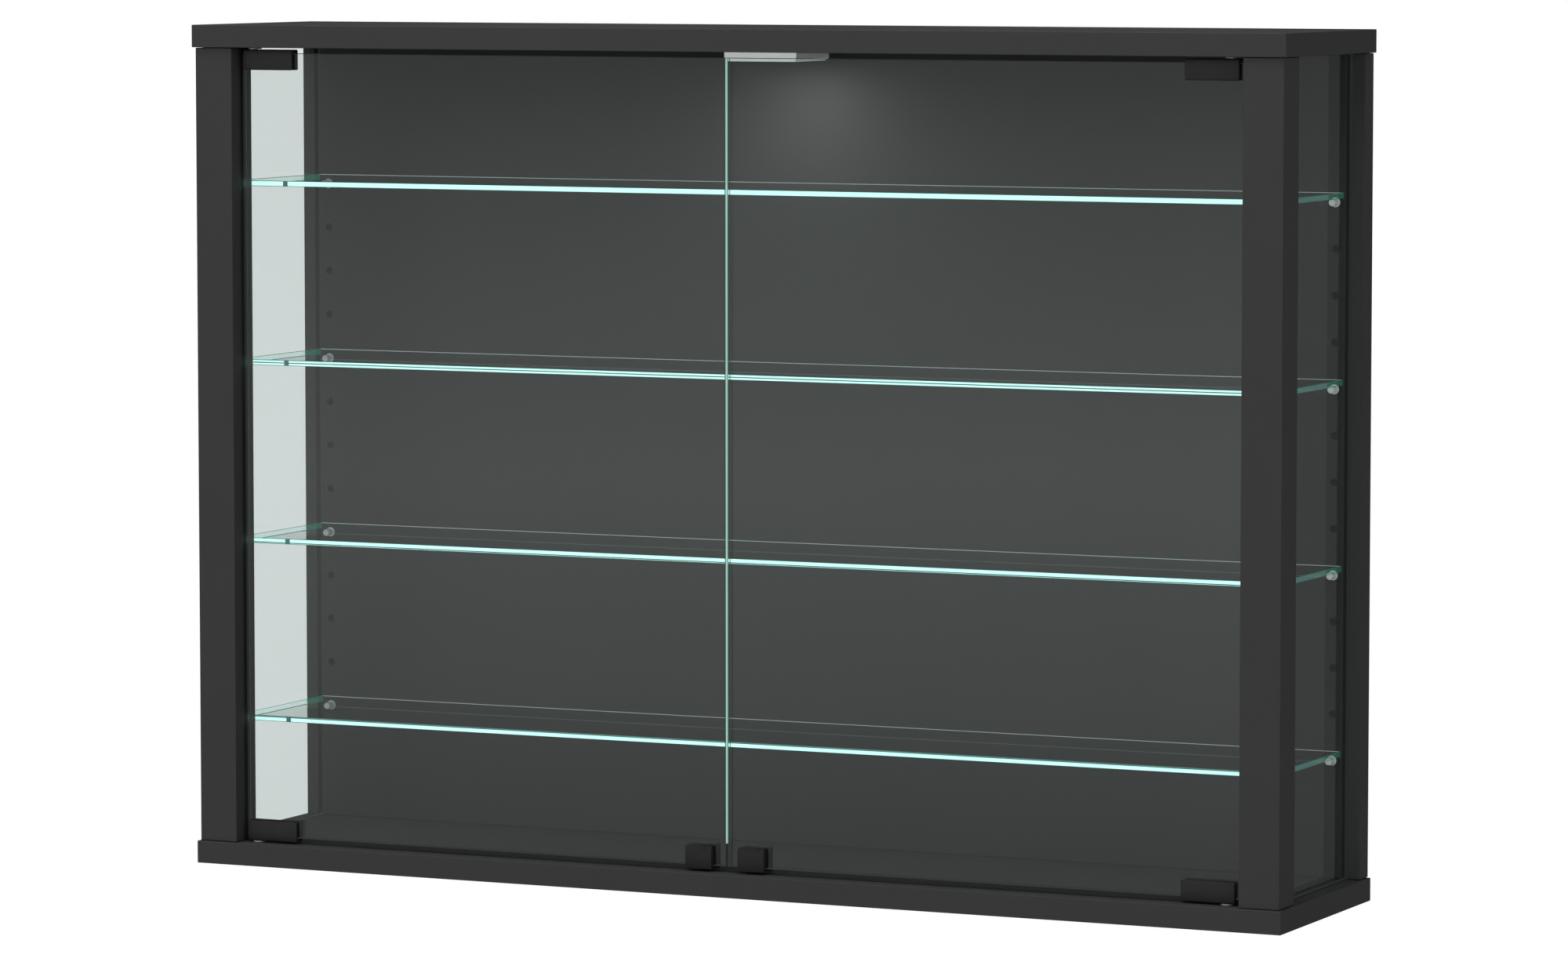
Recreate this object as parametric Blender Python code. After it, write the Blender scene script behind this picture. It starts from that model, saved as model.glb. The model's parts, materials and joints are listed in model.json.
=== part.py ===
"""Wall showcase: black boards and posts, glass sides, two glass doors on clip hinges, four glass
shelves on pins, and a flat lamp under the top board.

Metres, +Z up. The origin is the middle of the back face, which lies on the wall. The front faces -Y,
and left is -X.
"""

import math

import bmesh
import bpy
from mathutils import Matrix, Vector

# Cabinet. The top and bottom boards are as wide and as deep as the whole cabinet.
WIDTH = 0.828
HEIGHT = 0.600
DEPTH = 0.176
BOARD = 0.016
BACK_BOARD = 0.016
POST = 0.029
OVERHANG = 0.002
BACK_INSET = 0.002
EDGE_ROUND = 0.0005
FIT = 0.0003

# Side panes, held in a groove in the post and one in the back board
SIDE_GLASS = 0.004
SIDE_GLASS_INSET = 0.0095
GROOVE_DEPTH = 0.006
GLASS_CHAMFER = 0.0003

# Doors. The hinge axis runs up the middle of the door's thickness.
DOOR_GLASS = 0.004
DOOR_SETBACK = 0.0127
DOOR_END_GAP = 0.004
DOOR_SIDE_GAP = 0.0035
DOOR_MIDDLE_GAP = 0.0015
PIVOT_FROM_POST = 0.0124

# Clip hinges
CLIP_LENGTH = 0.039
CLIP_HEIGHT = 0.0145
CLIP_GAP = 0.0014
CLIP_END = 0.0069
CLIP_ROUND = 0.0006
FRONT_JAW = 0.0027
REAR_JAW = 0.0027
CLAMP_SCREW_RADIUS = 0.002
CLAMP_SCREW_PROUD = 0.0008
SOCKET_RADIUS = 0.0011
SOCKET_DEPTH = 0.0014
PIVOT_RADIUS = 0.002
PIVOT_PLAY = 0.0001
BUSH_RADIUS = 0.004
BUSH_FLANGE = 0.0008
COVER = 0.006

# Finger grips, pushed over the lower edge of each door
GRIP_FROM_MIDDLE = 0.010
GRIP_WIDTH = 0.020
GRIP_HEIGHT = 0.016
GRIP_FRONT = 0.0032
GRIP_BULGE = 0.0006
GRIP_BEND_STEPS = 6
GRIP_REAR = 0.002
GRIP_EAR = 0.002
GRIP_EAR_RISE = 0.002
GRIP_WEB = 0.0017
GRIP_SCOOP = 0.003

# Rubber stops on the bottom board, one behind each grip
STOP_WIDTH = 0.010
STOP_LENGTH = 0.006
STOP_HEIGHT = 0.008
STOP_ROUND = 0.0015

# Shelves and the rows of pin holes
SHELF_COUNT = 4
SHELF_GLASS = 0.004
SHELF_END_GAP = 0.001
SHELF_FACE_GAP = 0.0015
ROW_PITCH = 0.032
LOWEST_ROW = 0.082
SPACE_OVER_TOP_ROW = 0.090
PIN_INSET = 0.021
PIN_RADIUS = 0.0025
PIN_STEM = 0.008
PIN_REACH = 0.008
PIN_COLLAR = 0.0034
PIN_COLLAR_LENGTH = 0.0009
PIN_CHAMFER = 0.0005

# Dowels between the boards and what stands between them
DOWEL_RADIUS = 0.004
DOWEL_IN_END = 0.012
DOWEL_CHAMFER = 0.0008

# Lamp
LAMP_SIZE = 0.055
LAMP_HEIGHT = 0.0075
LAMP_CHAMFER = 0.002
LAMP_WALL = 0.0035
LAMP_ROOF = 0.002
LAMP_LED_BOARD = 0.0012
LAMP_DIFFUSER = 0.0015
LAMP_LEAD_RADIUS = 0.0015
LEAD_NOTCH = 0.008
LEAD_X = -0.016

# Wall hangers, let into the back face
HANGER_WIDTH = 0.060
HANGER_HEIGHT = 0.036
HANGER_PLATE = 0.002
HANGER_FROM_TOP = 0.055
HANGER_FROM_END = 0.090
HANGER_CORNER = 0.004
CORNER_STEPS = 4
KEY_HEAD_RADIUS = 0.0055
KEY_SLOT_RADIUS = 0.003
KEY_DROP = 0.009
POCKET_DEPTH = 0.006
POCKET_MARGIN = 0.003

# Facets of a full turn
FINE = 96
PLAIN = 16
SMALL = 12

# Places that follow from the sizes
FRONT = -DEPTH
FLOOR = -HEIGHT / 2 + BOARD
CEILING = HEIGHT / 2 - BOARD
POST_OUTER = WIDTH / 2 - OVERHANG
POST_INNER = POST_OUTER - POST
POST_X = POST_OUTER - POST / 2
POST_FRONT = FRONT + OVERHANG
POST_REAR = POST_FRONT + POST
POST_Y = POST_FRONT + POST / 2
BACK_FACE = -BACK_BOARD
PANE_OUTER = POST_OUTER - SIDE_GLASS_INSET
PANE_INNER = PANE_OUTER - SIDE_GLASS

DOOR_FRONT = FRONT + DOOR_SETBACK
DOOR_REAR = DOOR_FRONT + DOOR_GLASS
DOOR_OUTER = POST_INNER - DOOR_SIDE_GAP
DOOR_INNER = DOOR_MIDDLE_GAP / 2
PIVOT_X = POST_INNER - PIVOT_FROM_POST
PIVOT_Y = (DOOR_FRONT + DOOR_REAR) / 2

CLIP_FRONT = DOOR_FRONT - FIT - FRONT_JAW
JAW_FACE = DOOR_REAR + FIT
CLIP_REAR = JAW_FACE + REAR_JAW
CLIP_OUTER = PIVOT_X + CLIP_END
CLIP_INNER = CLIP_OUTER - CLIP_LENGTH
SOCKET_IN_BOARD = BOARD - COVER

GRIP_X = GRIP_FROM_MIDDLE + GRIP_WIDTH / 2
GRIP_BACK = DOOR_REAR + FIT + GRIP_REAR

SHELF_FRONT = POST_REAR + SHELF_FACE_GAP
SHELF_REAR = BACK_FACE - SHELF_FACE_GAP
SHELF_END = PANE_INNER - SHELF_END_GAP
ROWS_PER_SHELF = int(
    (CEILING - FLOOR - LOWEST_ROW - SPACE_OVER_TOP_ROW) / ((SHELF_COUNT - 1) * ROW_PITCH)
)
ROW_COUNT = (SHELF_COUNT - 1) * ROWS_PER_SHELF + 1
ROWS = [FLOOR + LOWEST_ROW + ROW_PITCH * index for index in range(ROW_COUNT)]
PIN_X = POST_OUTER - PIN_INSET

LAMP_Y = (SHELF_FRONT + SHELF_REAR) / 2
HANGER_X = WIDTH / 2 - HANGER_FROM_END - HANGER_WIDTH / 2
HANGER_Z = HEIGHT / 2 - HANGER_FROM_TOP

# Colour, roughness and metallic value of each finish
FINISHES = {
    "black_board": ((0.042, 0.042, 0.043), 0.55, 0.0),
    "clear_glass": ((0.72, 0.86, 0.82), 0.05, 0.0),
    "black_metal": ((0.030, 0.031, 0.032), 0.45, 0.6),
    "black_plastic": ((0.025, 0.026, 0.027), 0.50, 0.0),
    "grey_nylon": ((0.35, 0.35, 0.36), 0.55, 0.0),
    "rubber": ((0.05, 0.05, 0.05), 0.85, 0.0),
    "nickel": ((0.72, 0.71, 0.69), 0.22, 1.0),
    "steel": ((0.55, 0.56, 0.58), 0.35, 1.0),
    "beech": ((0.55, 0.38, 0.22), 0.70, 0.0),
    "silver": ((0.70, 0.71, 0.72), 0.30, 0.9),
    "opal": ((0.92, 0.92, 0.90), 0.40, 0.0),
    "white_board": ((0.85, 0.86, 0.84), 0.55, 0.0),
}


def clear_scene():
    for item in list(bpy.data.objects):
        bpy.data.objects.remove(item)


def finish(name, kind):
    colour, roughness, metallic = FINISHES[kind]
    material = bpy.data.materials.new(f"{name}_{kind}")
    material.use_nodes = True
    shader = material.node_tree.nodes["Principled BSDF"]
    shader.inputs["Base Color"].default_value = (*colour, 1)
    shader.inputs["Roughness"].default_value = roughness
    shader.inputs["Metallic"].default_value = metallic
    return material


def add_object(name, mesh, origin, parent=None):
    """Links a bmesh drawn in world coordinates as an object whose origin is at the given point."""
    bmesh.ops.recalc_face_normals(mesh, faces=mesh.faces)
    bmesh.ops.translate(mesh, verts=mesh.verts, vec=-Vector(origin))
    data = bpy.data.meshes.new(name)
    mesh.to_mesh(data)
    mesh.free()
    item = bpy.data.objects.new(name, data)
    bpy.context.collection.objects.link(item)
    item.parent = parent
    item.location = Vector(origin) - (parent.location if parent else Vector())
    return item


def piece(name, kind, mesh, origin, parent=None, smooth=False):
    item = add_object(name, mesh, origin, parent)
    item.data.materials.append(finish(name, kind))
    if smooth:
        item.data.shade_smooth()
        item.data.set_sharp_from_angle(angle=math.radians(40))
    return item


def round_edges(item, width, segments=1):
    bevel = item.modifiers.new("edges", "BEVEL")
    bevel.width = width
    bevel.segments = segments
    bevel.limit_method = "ANGLE"


def combine(item, name, mesh, operation):
    """Joins the bmesh, drawn in world coordinates, to the object, or cuts it away."""
    bpy.context.view_layer.update()
    helper = add_object(name, mesh, item.matrix_world.translation)
    helper.hide_render = True
    helper.display_type = "WIRE"
    boolean = item.modifiers.new(name, "BOOLEAN")
    boolean.operation = operation
    boolean.solver = "EXACT"
    boolean.object = helper


def cut(item, name, mesh):
    combine(item, name, mesh, "DIFFERENCE")


def add_block(mesh, low, high):
    size = Vector(high) - Vector(low)
    middle = (Vector(high) + Vector(low)) / 2
    place = Matrix.Translation(middle) @ Matrix.Diagonal((*size, 1))
    return bmesh.ops.create_cube(mesh, size=1, matrix=place)["verts"]


def add_cylinder(mesh, centre, axis, radius, length, facets):
    """A closed cylinder whose middle is at centre."""
    turn = Vector((0, 0, 1)).rotation_difference(Vector(axis)).to_matrix().to_4x4()
    bmesh.ops.create_cone(
        mesh,
        cap_ends=True,
        segments=facets,
        radius1=radius,
        radius2=radius,
        depth=length,
        matrix=Matrix.Translation(centre) @ turn,
    )


def block_mesh(low, high):
    mesh = bmesh.new()
    add_block(mesh, low, high)
    return mesh


def spread(low, high, side):
    """The x range of a piece that lies between two distances from the middle, on one side."""
    return (side * low, side * high) if side > 0 else (side * high, side * low)


def side_block(side, x_range, y_range, z_range):
    low_x, high_x = spread(*x_range, side)
    return block_mesh((low_x, y_range[0], z_range[0]), (high_x, y_range[1], z_range[1]))


def prism_mesh(outline, travel):
    """A flat outline of points in space, pushed along travel."""
    mesh = bmesh.new()
    face = mesh.faces.new([mesh.verts.new(point) for point in outline])
    pushed = bmesh.ops.extrude_face_region(mesh, geom=[face])["geom"]
    moved = [part for part in pushed if isinstance(part, bmesh.types.BMVert)]
    bmesh.ops.translate(mesh, verts=moved, vec=travel)
    return mesh


def turned_mesh(profile, start, axis, facets, closed=False):
    """A turned solid. The profile's points are (radius, distance along the axis from start)."""
    mesh = bmesh.new()
    verts = [mesh.verts.new((radius, 0, along)) for radius, along in profile]
    edges = [mesh.edges.new(pair) for pair in zip(verts, verts[1:])]
    if closed:
        edges.append(mesh.edges.new((verts[-1], verts[0])))
    bmesh.ops.spin(
        mesh, geom=verts + edges, cent=(0, 0, 0), axis=(0, 0, 1), angle=math.tau, steps=facets
    )
    bmesh.ops.remove_doubles(mesh, verts=mesh.verts, dist=0.000001)
    turn = Vector((0, 0, 1)).rotation_difference(Vector(axis)).to_matrix().to_4x4()
    bmesh.ops.transform(mesh, matrix=Matrix.Translation(start) @ turn, verts=mesh.verts)
    return mesh


def arc(centre, radius, start, end, steps):
    angles = [math.radians(start + (end - start) * step / steps) for step in range(steps + 1)]
    return [(centre[0] + radius * math.cos(a), centre[1] + radius * math.sin(a)) for a in angles]


def side_name(side):
    return "right" if side > 0 else "left"


def end_name(end):
    return "top" if end > 0 else "bottom"


def level(end, distance):
    """The height at a distance into the cabinet from the face of the top or bottom board."""
    return CEILING - distance if end > 0 else FLOOR + distance


def make_board(end):
    """The top or bottom board, with blind holes for the hinge bushes and the dowels."""
    low, high = sorted((level(end, 0), level(end, -BOARD)))
    name = f"{end_name(end)}_panel"
    middle = (0, -DEPTH / 2, (low + high) / 2)
    mesh = block_mesh((-WIDTH / 2, FRONT, low), (WIDTH / 2, 0, high))
    board = piece(name, "black_board", mesh, middle)
    round_edges(board, EDGE_ROUND, 2)
    holes = bmesh.new()
    sockets = [(0, BACK_FACE / 2, DOWEL_RADIUS)]
    for side in (-1, 1):
        sockets.append((side * PIVOT_X, PIVOT_Y, BUSH_RADIUS))
        sockets.append((side * POST_X, POST_Y, DOWEL_RADIUS))
    for x, y, radius in sockets:
        length = 2 * (SOCKET_IN_BOARD + FIT)
        add_cylinder(holes, (x, y, level(end, 0)), (0, 0, 1), radius + FIT, length, PLAIN)
    cut(board, f"{name}_holes", holes)


def make_post(side):
    """A front post, with a groove for the pane and a row of pin holes in its rear face."""
    name = f"{side_name(side)}_post"
    z_range = (FLOOR + FIT, CEILING - FIT)
    mesh = side_block(side, (POST_INNER, POST_OUTER), (POST_FRONT, POST_REAR), z_range)
    centre = (side * POST_X, POST_Y, 0)
    post = piece(name, "black_board", mesh, centre)
    round_edges(post, EDGE_ROUND, 2)
    groove = side_block(
        side,
        (PANE_INNER - FIT, PANE_OUTER + FIT),
        (POST_REAR - GROOVE_DEPTH, POST_REAR + GROOVE_DEPTH),
        (-HEIGHT, HEIGHT),
    )
    cut(post, f"{name}_groove", groove)
    holes = bmesh.new()
    for row in ROWS:
        start = (side * PIN_X, POST_REAR, row)
        add_cylinder(holes, start, (0, 1, 0), PIN_RADIUS + FIT, 2 * (PIN_STEM + FIT), SMALL)
    add_dowel_holes(holes, side * POST_X, POST_Y)
    cut(post, f"{name}_holes", holes)


def add_dowel_holes(holes, x, y):
    """A blind hole in each end of an upright piece."""
    for end in (-1, 1):
        length = 2 * (DOWEL_IN_END + FIT)
        add_cylinder(holes, (x, y, level(end, 0)), (0, 0, 1), DOWEL_RADIUS + FIT, length, PLAIN)


def make_dowel(name, x, y, end):
    """A wooden dowel that joins a post or the back board to the top or bottom board."""
    centre = Vector((x, y, level(end, 0)))
    start = centre - Vector((0, 0, end * DOWEL_IN_END))
    length = DOWEL_IN_END + SOCKET_IN_BOARD
    profile = [
        (0, 0),
        (DOWEL_RADIUS - DOWEL_CHAMFER, 0),
        (DOWEL_RADIUS, DOWEL_CHAMFER),
        (DOWEL_RADIUS, length - DOWEL_CHAMFER),
        (DOWEL_RADIUS - DOWEL_CHAMFER, length),
        (0, length),
    ]
    piece(name, "beech", turned_mesh(profile, start, (0, 0, end), PLAIN), centre, smooth=True)


def make_back():
    """The back board: pane grooves, pin and dowel holes, lead notch and hanger pockets."""
    half = WIDTH / 2 - BACK_INSET
    mesh = block_mesh((-half, BACK_FACE, FLOOR + FIT), (half, 0, CEILING - FIT))
    back = piece("back_panel", "black_board", mesh, (0, BACK_FACE / 2, 0))
    round_edges(back, EDGE_ROUND, 2)

    front_cuts = bmesh.new()
    for side in (-1, 1):
        low_x, high_x = spread(PANE_INNER - FIT, PANE_OUTER + FIT, side)
        low = (low_x, BACK_FACE - GROOVE_DEPTH, -HEIGHT)
        add_block(front_cuts, low, (high_x, BACK_FACE + GROOVE_DEPTH, HEIGHT))
        for row in ROWS:
            start = (side * PIN_X, BACK_FACE, row)
            length = 2 * (PIN_STEM + FIT)
            add_cylinder(front_cuts, start, (0, 1, 0), PIN_RADIUS + FIT, length, SMALL)
    low = (LEAD_X - LEAD_NOTCH / 2, -2 * BACK_BOARD, CEILING - FIT - LAMP_HEIGHT)
    add_block(front_cuts, low, (LEAD_X + LEAD_NOTCH / 2, BACK_BOARD, HEIGHT / 2))
    add_dowel_holes(front_cuts, 0, BACK_FACE / 2)
    cut(back, "back_panel_front_cuts", front_cuts)

    recesses = bmesh.new()
    pockets = bmesh.new()
    for side in (-1, 1):
        half_width = HANGER_WIDTH / 2 + FIT
        half_height = HANGER_HEIGHT / 2 + FIT
        depth = HANGER_PLATE + 2 * FIT
        x = side * HANGER_X
        low = (x - half_width, -depth, HANGER_Z - half_height)
        add_block(recesses, low, (x + half_width, depth, HANGER_Z + half_height))
        reach = KEY_HEAD_RADIUS + POCKET_MARGIN
        low = (x - reach, -depth - POCKET_DEPTH, HANGER_Z - KEY_DROP - reach)
        add_block(pockets, low, (x + reach, -depth + FIT, HANGER_Z + reach))
    cut(back, "back_panel_recesses", recesses)
    cut(back, "back_panel_pockets", pockets)


def make_hanger(side):
    """A steel plate with a keyhole for the wall screw. Its round hole is below and its slot above."""
    name = f"{side_name(side)}_wall_hanger"
    x = side * HANGER_X
    rear = -FIT
    front = rear - HANGER_PLATE
    low = (x - HANGER_WIDTH / 2, front, HANGER_Z - HANGER_HEIGHT / 2)
    high = (x + HANGER_WIDTH / 2, rear, HANGER_Z + HANGER_HEIGHT / 2)
    mesh = block_mesh(low, high)
    upright = [edge for edge in mesh.edges if abs(edge.verts[0].co.y - edge.verts[1].co.y) > FIT]
    bmesh.ops.bevel(
        mesh, geom=upright, offset=HANGER_CORNER, segments=CORNER_STEPS, profile=0.5, affect="EDGES"
    )
    hanger = piece(name, "steel", mesh, (x, (front + rear) / 2, HANGER_Z))
    neck = math.degrees(math.asin(KEY_SLOT_RADIUS / KEY_HEAD_RADIUS))
    head = arc((x, HANGER_Z - KEY_DROP), KEY_HEAD_RADIUS, 90 + neck, 450 - neck, PLAIN)
    slot = arc((x, HANGER_Z), KEY_SLOT_RADIUS, 0, 180, SMALL // 2)
    outline = [(key_x, front - FIT, key_z) for key_x, key_z in head + slot]
    cut(hanger, f"{name}_keyhole", prism_mesh(outline, (0, HANGER_PLATE + 2 * FIT, 0)))


def make_side_pane(side):
    name = f"{side_name(side)}_side_glass"
    y_range = (POST_REAR - GROOVE_DEPTH + FIT, BACK_FACE + GROOVE_DEPTH - FIT)
    z_range = (FLOOR + FIT, CEILING - FIT)
    mesh = side_block(side, (PANE_INNER, PANE_OUTER), y_range, z_range)
    centre = (side * (PANE_INNER + PANE_OUTER) / 2, sum(y_range) / 2, 0)
    round_edges(piece(name, "clear_glass", mesh, centre), GLASS_CHAMFER)


def make_shelf(number):
    """A glass shelf, with a pin under each corner: two in the posts and two in the back board."""
    row = ROWS[(number - 1) * ROWS_PER_SHELF]
    underside = row + PIN_RADIUS + FIT
    mesh = block_mesh(
        (-SHELF_END, SHELF_FRONT, underside), (SHELF_END, SHELF_REAR, underside + SHELF_GLASS)
    )
    middle = (0, (SHELF_FRONT + SHELF_REAR) / 2, underside + SHELF_GLASS / 2)
    round_edges(piece(f"shelf_{number}", "clear_glass", mesh, middle), GLASS_CHAMFER)
    for side in (-1, 1):
        for face, toward, place in ((POST_REAR, 1, "front"), (BACK_FACE, -1, "rear")):
            name = f"shelf_{number}_{place}_{side_name(side)}_pin"
            make_pin(name, (side * PIN_X, face, row), toward)


def make_pin(name, mouth, toward):
    """A shelf pin: its stem is in the hole, its collar on the face, and it points towards +Y or -Y."""
    profile = [
        (0, -PIN_STEM),
        (PIN_RADIUS - PIN_CHAMFER, -PIN_STEM),
        (PIN_RADIUS, PIN_CHAMFER - PIN_STEM),
        (PIN_RADIUS, FIT),
        (PIN_COLLAR, FIT),
        (PIN_COLLAR, FIT + PIN_COLLAR_LENGTH),
        (PIN_RADIUS, FIT + PIN_COLLAR_LENGTH),
        (PIN_RADIUS, PIN_REACH - PIN_CHAMFER),
        (PIN_RADIUS - PIN_CHAMFER, PIN_REACH),
        (0, PIN_REACH),
    ]
    mesh = turned_mesh(profile, mouth, (0, toward, 0), SMALL)
    piece(name, "nickel", mesh, mouth, smooth=True)


def make_door(side):
    """A door: its glass, a clip hinge at each end of its outer edge, and its finger grip."""
    pivot = bpy.data.objects.new(f"{side_name(side)}_door_pivot", None)
    pivot.location = (side * PIVOT_X, PIVOT_Y, 0)
    bpy.context.collection.objects.link(pivot)
    origin = pivot.location.copy()
    z_range = (FLOOR + DOOR_END_GAP, CEILING - DOOR_END_GAP)
    mesh = side_block(side, (DOOR_INNER, DOOR_OUTER), (DOOR_FRONT, DOOR_REAR), z_range)
    glass = piece(f"{side_name(side)}_door_glass", "clear_glass", mesh, origin, pivot)
    round_edges(glass, GLASS_CHAMFER)
    for end in (-1, 1):
        make_hinge(side, end, pivot)
    make_grip(side, pivot)


def make_hinge(side, end, pivot):
    """A clip that grips the glass with a screw, and turns on a pin in a bush."""
    name = f"{side_name(side)}_{end_name(end)}_hinge"
    origin = pivot.location.copy()
    outer = level(end, CLIP_GAP)
    web = level(end, DOOR_END_GAP - FIT)
    tip = level(end, CLIP_GAP + CLIP_HEIGHT)
    section = [
        (CLIP_FRONT, outer),
        (CLIP_REAR, outer),
        (CLIP_REAR, tip),
        (JAW_FACE, tip),
        (JAW_FACE, web),
        (DOOR_FRONT - FIT, web),
        (DOOR_FRONT - FIT, tip),
        (CLIP_FRONT, tip),
    ]
    low_x, high_x = spread(CLIP_INNER, CLIP_OUTER, side)
    mesh = prism_mesh([(low_x, y, z) for y, z in section], (high_x - low_x, 0, 0))
    clip = piece(f"{name}_clip", "black_metal", mesh, origin, pivot)
    round_edges(clip, CLIP_ROUND)

    grip_middle = level(end, (DOOR_END_GAP + CLIP_GAP + CLIP_HEIGHT) / 2)
    screw_x = side * (CLIP_INNER + CLIP_OUTER) / 2
    holes = bmesh.new()
    pin_hole = (origin.x, origin.y, outer)
    through = 2 * (DOOR_END_GAP - CLIP_GAP)
    add_cylinder(holes, pin_hole, (0, 0, 1), PIVOT_RADIUS + FIT, through, PLAIN)
    screw_hole = (screw_x, CLIP_REAR, grip_middle)
    add_cylinder(
        holes, screw_hole, (0, 1, 0), CLAMP_SCREW_RADIUS + FIT, 2 * REAR_JAW + FIT, PLAIN
    )
    cut(clip, f"{name}_clip_holes", holes)
    make_clamp_screw(f"{name}_screw", (screw_x, JAW_FACE, grip_middle), pivot)
    make_pivot_pin(f"{name}_pin", end, pivot)
    make_bush(f"{name}_bush", side, end)


def make_clamp_screw(name, start, pivot):
    length = REAR_JAW + CLAMP_SCREW_PROUD
    chamfer = CLAMP_SCREW_RADIUS / 5
    profile = [
        (0, 0),
        (CLAMP_SCREW_RADIUS, 0),
        (CLAMP_SCREW_RADIUS, length - chamfer),
        (CLAMP_SCREW_RADIUS - chamfer, length),
        (0, length),
    ]
    mesh = turned_mesh(profile, start, (0, 1, 0), PLAIN)
    screw = piece(name, "steel", mesh, pivot.location.copy(), pivot, smooth=True)
    socket = bmesh.new()
    mouth = Vector(start) + Vector((0, length, 0))
    add_cylinder(socket, mouth, (0, 1, 0), SOCKET_RADIUS, 2 * SOCKET_DEPTH, 6)
    cut(screw, f"{name}_socket", socket)


def make_pivot_pin(name, end, pivot):
    """The pin is fast in the clip's web and turns in the bush."""
    start = Vector((pivot.location.x, pivot.location.y, level(end, DOOR_END_GAP - FIT)))
    length = DOOR_END_GAP - FIT + SOCKET_IN_BOARD - PIVOT_RADIUS / 2
    chamfer = PIVOT_RADIUS / 4
    profile = [
        (0, 0),
        (PIVOT_RADIUS, 0),
        (PIVOT_RADIUS, length - chamfer),
        (PIVOT_RADIUS - chamfer, length),
        (0, length),
    ]
    mesh = turned_mesh(profile, start, (0, 0, end), PLAIN)
    piece(name, "steel", mesh, pivot.location.copy(), pivot, smooth=True)


def make_bush(name, side, end):
    """A nylon bush pressed into the board. The clip rests on its flange."""
    mouth = (side * PIVOT_X, PIVOT_Y, level(end, 0))
    bore = PIVOT_RADIUS + PIVOT_PLAY
    flange = BUSH_RADIUS + BUSH_FLANGE
    profile = [
        (bore, FIT - CLIP_GAP),
        (flange, FIT - CLIP_GAP),
        (flange, -FIT),
        (BUSH_RADIUS, -FIT),
        (BUSH_RADIUS, SOCKET_IN_BOARD),
        (bore, SOCKET_IN_BOARD),
    ]
    mesh = turned_mesh(profile, mouth, (0, 0, end), PLAIN, closed=True)
    piece(name, "grey_nylon", mesh, mouth, smooth=True)


def make_grip(side, pivot):
    """A clip of U section. Its front leg is thick and hollowed at the top for a finger."""
    name = f"{side_name(side)}_door_grip"
    edge = FLOOR + DOOR_END_GAP - FIT
    foot = edge - GRIP_WEB
    top = foot + GRIP_HEIGHT
    front_back = DOOR_FRONT - FIT
    front = front_back - GRIP_FRONT
    section = [(GRIP_BACK, foot)]
    for step in range(GRIP_BEND_STEPS + 1):
        share = step / GRIP_BEND_STEPS
        section.append((front - GRIP_BULGE * math.sin(math.pi * share), foot + GRIP_HEIGHT * share))
    section += [(front_back, top), (front_back, edge), (GRIP_BACK, edge)]
    low_x, high_x = spread(GRIP_FROM_MIDDLE, GRIP_FROM_MIDDLE + GRIP_WIDTH, side)
    mesh = prism_mesh([(low_x, y, z) for y, z in section], (high_x - low_x, 0, 0))
    grip = piece(name, "black_plastic", mesh, pivot.location.copy(), pivot)
    rear_leg = side_block(
        side,
        (GRIP_FROM_MIDDLE - GRIP_EAR, GRIP_FROM_MIDDLE + GRIP_WIDTH + GRIP_EAR),
        (GRIP_BACK - GRIP_REAR, GRIP_BACK),
        (foot, top + GRIP_EAR_RISE),
    )
    combine(grip, f"{name}_rear_leg", rear_leg, "UNION")
    scoop = bmesh.new()
    radius = GRIP_WIDTH * GRIP_WIDTH / (8 * GRIP_SCOOP) + GRIP_SCOOP / 2
    tilt = Vector((0, GRIP_FRONT, GRIP_SCOOP)).normalized()
    lowest = Vector((side * GRIP_X, front, top - GRIP_SCOOP))
    centre = lowest + radius * tilt.cross(Vector((-1, 0, 0)))
    add_cylinder(scoop, centre, tilt, radius, 2 * tilt.length * GRIP_FRONT / tilt.y, FINE)
    cut(grip, f"{name}_scoop", scoop)


def make_stop(side):
    """A rubber stop on the bottom board, which the rear of the grip meets when the door is shut."""
    name = f"{side_name(side)}_door_stop"
    x_range = (GRIP_X - STOP_WIDTH / 2, GRIP_X + STOP_WIDTH / 2)
    y_range = (GRIP_BACK + FIT, GRIP_BACK + FIT + STOP_LENGTH)
    mesh = side_block(side, x_range, y_range, (FLOOR + FIT, FLOOR + FIT + STOP_HEIGHT))
    centre = (side * GRIP_X, sum(y_range) / 2, FLOOR + FIT)
    round_edges(piece(name, "rubber", mesh, centre), STOP_ROUND, 2)


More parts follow.
